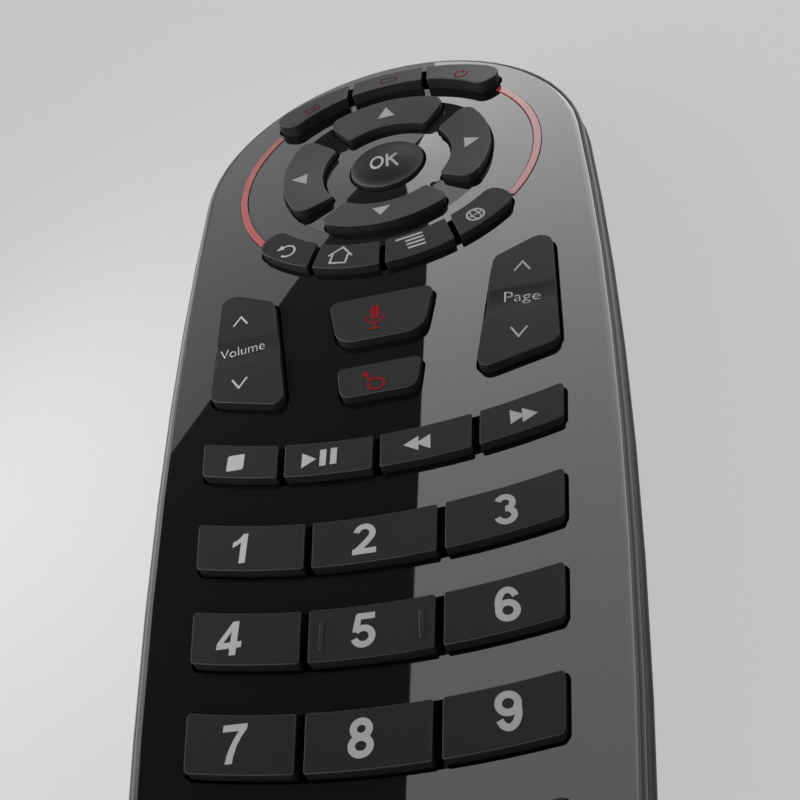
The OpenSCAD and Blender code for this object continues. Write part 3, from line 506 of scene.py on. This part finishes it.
# Digits: plain bold numerals in pale grey ink, 3.6 mm high, on the number keys. They are
# drawn one unit high, with strokes a little under a fifth of their height.
DIGIT_HIGH = 3.6
BOLD = 0.18
SIX = [ribbon(bow(0, 0.32, 0.235, 0, 360, 0.225), BOLD, True),
       ribbon(bow(0.01, 0.5, 0.245, 205, 32, 0.405), BOLD)]
NUMERALS = (
    [ribbon(bow(0, 0.5, 0.24, 0, 360, 0.405), BOLD, True)],
    [[[(0.22, 0), (0.03, 0), (0.03, 0.72), (-0.08, 0.63), (-0.22, 0.57), (-0.22, 0.74), (-0.1, 0.8),
       (0.01, 0.9), (0.07, 1), (0.22, 1)]]],
    [ribbon(bow(-0.01, 0.675, 0.235, 168, -28) + [(0.08, 0.41), (-0.24, 0.1)], BOLD),
     ribbon([(-0.34, 0.09), (0.34, 0.09)], 0.18)],
    [ribbon(bow(-0.02, 0.71, 0.205, 160, -92, 0.2), BOLD), ribbon(bow(-0.02, 0.3, 0.235, 92, -165, 0.21), BOLD)],
    [[[(0.03, 1), (0.21, 1), (0.21, 0.39), (0.34, 0.39), (0.34, 0.21), (0.21, 0.21), (0.21, 0), (0.02, 0),
       (0.02, 0.21), (-0.36, 0.21), (-0.36, 0.38)], [(0.02, 0.7), (0.02, 0.39), (-0.18, 0.39)]]],
    [ribbon([(-0.2, 0.91), (0.29, 0.91)], 0.18), ribbon([(-0.14, 0.95), (-0.22, 0.46)], 0.17),
     ribbon(bow(-0.01, 0.33, 0.24, 145, -165, 0.235), BOLD)],
    SIX,
    [[[(-0.32, 1), (0.32, 1), (0.32, 0.86), (0.19, 0.66), (0.09, 0.42), (0.04, 0.18), (0.03, 0), (-0.16, 0),
       (-0.14, 0.2), (-0.08, 0.42), (0, 0.62), (0.11, 0.82), (-0.32, 0.82)]]],
    [ribbon(bow(0, 0.72, 0.2, 0, 360, 0.19), BOLD, True), ribbon(bow(0, 0.3, 0.235, 0, 360, 0.21), BOLD, True)],
    turn(SIX, 180, 0, 1))
PLACES = ((-0.5, -97.5), (-14.35, -65.65), (-0.9, -66.7), (13.45, -65.7), (-14.0, -76.0), (-0.65, -76.95),
          (12.85, -76.2), (-12.3, -86.55), (-0.55, -87.25), (12.25, -86.3))
for digit, (x, y) in enumerate(PLACES):
    numeral = turn(NUMERALS[digit], 0, x, y - DIGIT_HIGH / 2, DIGIT_HIGH)
    printed("key_%d" % digit, drawn(numeral), grey_ink)

# Signs of the last row: a small keyboard and a delete tag, one on either side of the zero.
# They are thin pale grey strokes.
OUTLINE = 0.28
BOARD = [ribbon([(-1.8, -1.1), (1.8, -1.1), (1.8, 1.1), (-1.8, 1.1), (-1.8, -1.1)], OUTLINE, True)]
BOARD += [ribbon([(x - 0.22, y), (x + 0.22, y)], 0.44) for x in (-1.05, -0.35, 0.35, 1.05) for y in (0.35, -0.4)]
printed("key_keyboard", drawn(turn(BOARD, 0, -11.3, -96.8)), grey_ink)
ERASE = [ribbon([(-2, 0), (-0.9, 1.1), (1.9, 1.1), (1.9, -1.1), (-0.9, -1.1), (-2, 0)], OUTLINE, True),
         ribbon([(-0.2, -0.5), (0.9, 0.5)], OUTLINE), ribbon([(-0.2, 0.5), (0.9, -0.5)], OUTLINE)]
printed("key_delete", drawn(turn(ERASE, 0, 11.3, -96.8)), grey_ink)

# Signs above the ring: source, guide and power. They are small, and printed in dark red
# that is faint on all but the power key.
SOURCE = [ribbon([(-1.1, -0.7), (1.1, -0.7), (1.1, 0.7), (-1.1, 0.7), (-1.1, -0.7)], 0.2, True),
          ribbon([(-0.5, 0), (0.4, 0)], 0.2), [[(0.3, -0.4), (0.3, 0.4), (0.75, 0)]]]
printed("key_input", drawn(turn(SOURCE, 32, -12.1, 17.6)), faint_ink)
GUIDE = [ribbon([(-1.2, -0.7), (1.2, -0.7), (1.2, 0.8), (-1.2, 0.8), (-1.2, -0.7)], 0.22, True)]
printed("key_guide", drawn(turn(GUIDE, 0, 0.2, 21.75)), faint_ink)
POWER = [ribbon(bow(0, 0, 0.95, 130, 410), 0.26), ribbon([(0, 0.3), (0, 1.15)], 0.26)]
printed("key_power", drawn(turn(POWER, -32, 12.0, 17.65)), red_ink)

# Table: a sheet of pale grey paper that the handset lies on. The camera, and the gloss
# that mirrors it, see most of it at an even tone, and the rest keeps the soft shadow.
TABLE_SIZE = 6
TABLE_GAP_MM = 0.2
PAPER_GREY = "#c4c4c4"
PAPER_SHOWN = "#d6d6d6"
EVEN_SHARE = 0.75
bpy.ops.mesh.primitive_plane_add(size=TABLE_SIZE, location=(0, 0, -TABLE_GAP_MM * MM))
table = bpy.context.object
table.name = "pale_table"
paper, paper_tree, paper_out = new_material("pale_grey_paper")
ray = add(paper_tree, "ShaderNodeLightPath").outputs
matt_paper = add(paper_tree, "ShaderNodeBsdfDiffuse", Color=linear(PAPER_GREY))
even_paper = add(paper_tree, "ShaderNodeEmission", Color=linear(PAPER_SHOWN), Strength=1.0)
mirrored = add(paper_tree, "ShaderNodeMath", [(0, ray["Is Camera Ray"]), (1, ray["Is Glossy Ray"])],
               operation="MAXIMUM")
shown = add(paper_tree, "ShaderNodeMath", [(0, mirrored.outputs[0]), (1, ray["Is Transmission Ray"])],
            operation="MAXIMUM")
share = add(paper_tree, "ShaderNodeMath", [(0, shown.outputs[0])], operation="MULTIPLY")
share.inputs[1].default_value = EVEN_SHARE
both = add(paper_tree, "ShaderNodeMixShader",
           [(0, share.outputs[0]), (1, matt_paper.outputs[0]), (2, even_paper.outputs[0])])
paper_tree.links.new(both.outputs[0], paper_out.inputs["Surface"])
table.data.materials.append(paper)

# Soft boxes: two large diffusers over the far end, a bright one to the right and a dimmer
# one to the left, each brighter at its far end. The gloss face mirrors them, with the dark
# gap between them. They make reflections only, and the lamps below light the matt surfaces.
FACE_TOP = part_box("top_cover")[1].z
BOX_UP_MM = 600


def soft_box(name, corner, along, width, length, near, far, side=1):
    """Area lamp facing down, right (1) or left (-1) of an edge given over the face, in mm and degrees."""
    lamp = bpy.data.lights.new(name, "AREA")
    lamp.shape = "RECTANGLE"
    lamp.size, lamp.size_y = width * MM, length * MM
    lamp.energy = math.pi * lamp.size * lamp.size_y
    lamp.use_nodes = True
    tree = lamp.node_tree
    place = add(tree, "ShaderNodeNewGeometry").outputs["Parametric"]
    run = add(tree, "ShaderNodeSeparateXYZ", [(0, place)])
    fade = add(tree, "ShaderNodeMapRange", [("Value", run.outputs["Y"])], To_Min=near, To_Max=far)
    tree.links.new(fade.outputs["Result"], tree.nodes["Emission"].inputs["Strength"])
    held = bpy.data.objects.new(name, lamp)
    c, s = math.cos(math.radians(along)), math.sin(math.radians(along))
    middle = (corner[0] + c * length / 2 + side * s * width / 2, corner[1] + s * length / 2 - side * c * width / 2)
    held.location = (ring.x + middle[0] * MM, ring.y + middle[1] * MM, FACE_TOP + BOX_UP_MM * MM)
    held.rotation_euler = (0, 0, math.radians(along - 90))
    held.visible_camera = False
    held.visible_diffuse = False
    bpy.context.scene.collection.objects.link(held)


soft_box("right_soft_box", corner=(-160, 0), along=87.8, width=1700, length=2000, near=1.9, far=5.5)
soft_box("left_soft_box", corner=(-614, 77), along=63.9, width=700, length=1500, near=0.9, far=1.4, side=-1)


# Lamps: a soft box in front lifts the near walls of the keys. A small lamp close on the
# left lights the matt tops and the print, so that these fade towards the right; the gloss
# face doesn't mirror it.
def small_lamp(name, place, aim, size, radiance):
    """Square area lamp, placed and aimed in millimetres from the middle of the ring."""
    lamp = bpy.data.lights.new(name, "AREA")
    lamp.size = size * MM
    lamp.energy = radiance * math.pi * lamp.size ** 2
    held = bpy.data.objects.new(name, lamp)
    held.location = Vector((ring.x, ring.y, FACE_TOP)) + Vector(place) * MM
    held.rotation_euler = (Vector(place) - Vector(aim)).to_track_quat("Z", "Y").to_euler()
    held.visible_camera = False
    bpy.context.scene.collection.objects.link(held)
    return held


small_lamp("front_soft_box", place=(-250, -600, 310), aim=(0, -50, 0), size=500, radiance=3.0)
left_lamp = small_lamp("left_lamp", place=(-75, -35, 45), aim=(0, -40, 0), size=60, radiance=8.5)
left_lamp.visible_glossy = False

# Room: dark overhead and brighter towards the horizon, most of all on the left, and less
# on the right. The rim of the face mirrors both sides. The camera sees an even pale wall.
ROOM_WHITE = "#f4f4f6"
OVERHEAD = 0.09
LEFT_SIDE, AHEAD_AND_BEHIND, RIGHT_SIDE = 3.0, 0.4, 1.2
WALL_SHOWN = 0.72
RISE_FROM, RISE_TO = 0.1, 0.75
LEFT_FROM, LEFT_TO = -0.75, -0.45
RIGHT_FROM, RIGHT_TO = 0.45, 0.8
world = bpy.data.worlds.new("dim_room")
world.use_nodes = True
room = world.node_tree
way = add(room, "ShaderNodeSeparateXYZ", [(0, add(room, "ShaderNodeTexCoord").outputs["Generated"])])
rise = add(room, "ShaderNodeMapRange", [("Value", way.outputs["Z"])], interpolation_type="SMOOTHSTEP",
           From_Min=RISE_FROM, From_Max=RISE_TO)
left_side = add(room, "ShaderNodeMapRange", [("Value", way.outputs["X"])], interpolation_type="SMOOTHSTEP",
                From_Min=LEFT_FROM, From_Max=LEFT_TO, To_Min=LEFT_SIDE, To_Max=AHEAD_AND_BEHIND)
right_side = add(room, "ShaderNodeMapRange", [("Value", way.outputs["X"])], interpolation_type="SMOOTHSTEP",
                 From_Min=RIGHT_FROM, From_Max=RIGHT_TO, To_Max=RIGHT_SIDE)
sides = add(room, "ShaderNodeMath", [(0, left_side.outputs["Result"]), (1, right_side.outputs["Result"])],
            operation="ADD")
wall = add(room, "ShaderNodeMix", [("Factor", rise.outputs["Result"]), ("A", sides.outputs[0])],
           data_type="FLOAT", B=OVERHEAD)
sight = add(room, "ShaderNodeLightPath").outputs["Is Camera Ray"]
shown_wall = add(room, "ShaderNodeMix", [("Factor", sight), ("A", wall.outputs["Result"])],
                 data_type="FLOAT", B=WALL_SHOWN)
room.links.new(shown_wall.outputs["Result"], room.nodes["Background"].inputs["Strength"])
room.nodes["Background"].inputs["Color"].default_value = linear(ROOM_WHITE)
bpy.context.scene.world = world

# Camera: it stands over the foot of the handset, a little to its right, and looks along
# it towards the head, tilted as in the photograph.
LENS_MM, SENSOR_MM = 44.32, 36
NEAREST_MM = 10
EYE_MM = Vector((23.75, -123.29, 78.56))
AHEAD = Vector((-0.19286, 0.68091, -0.70652))
SIDE = Vector((0.96628, 0.00661, -0.25740))
eye = bpy.data.cameras.new("eye")
eye.lens = LENS_MM
eye.sensor_width = SENSOR_MM
eye.clip_start = NEAREST_MM * MM
camera = bpy.data.objects.new("eye", eye)
back = -AHEAD.normalized()
right = (SIDE - SIDE.dot(back) * back).normalized()
up = back.cross(right)
camera.matrix_world = Matrix.Translation(Vector((ring.x, ring.y, FACE_TOP)) + EYE_MM * MM) @ Matrix(
    (right, up, back)).transposed().to_4x4()
bpy.context.scene.collection.objects.link(camera)
bpy.context.scene.camera = camera
bpy.context.scene.view_settings.view_transform = "Standard"
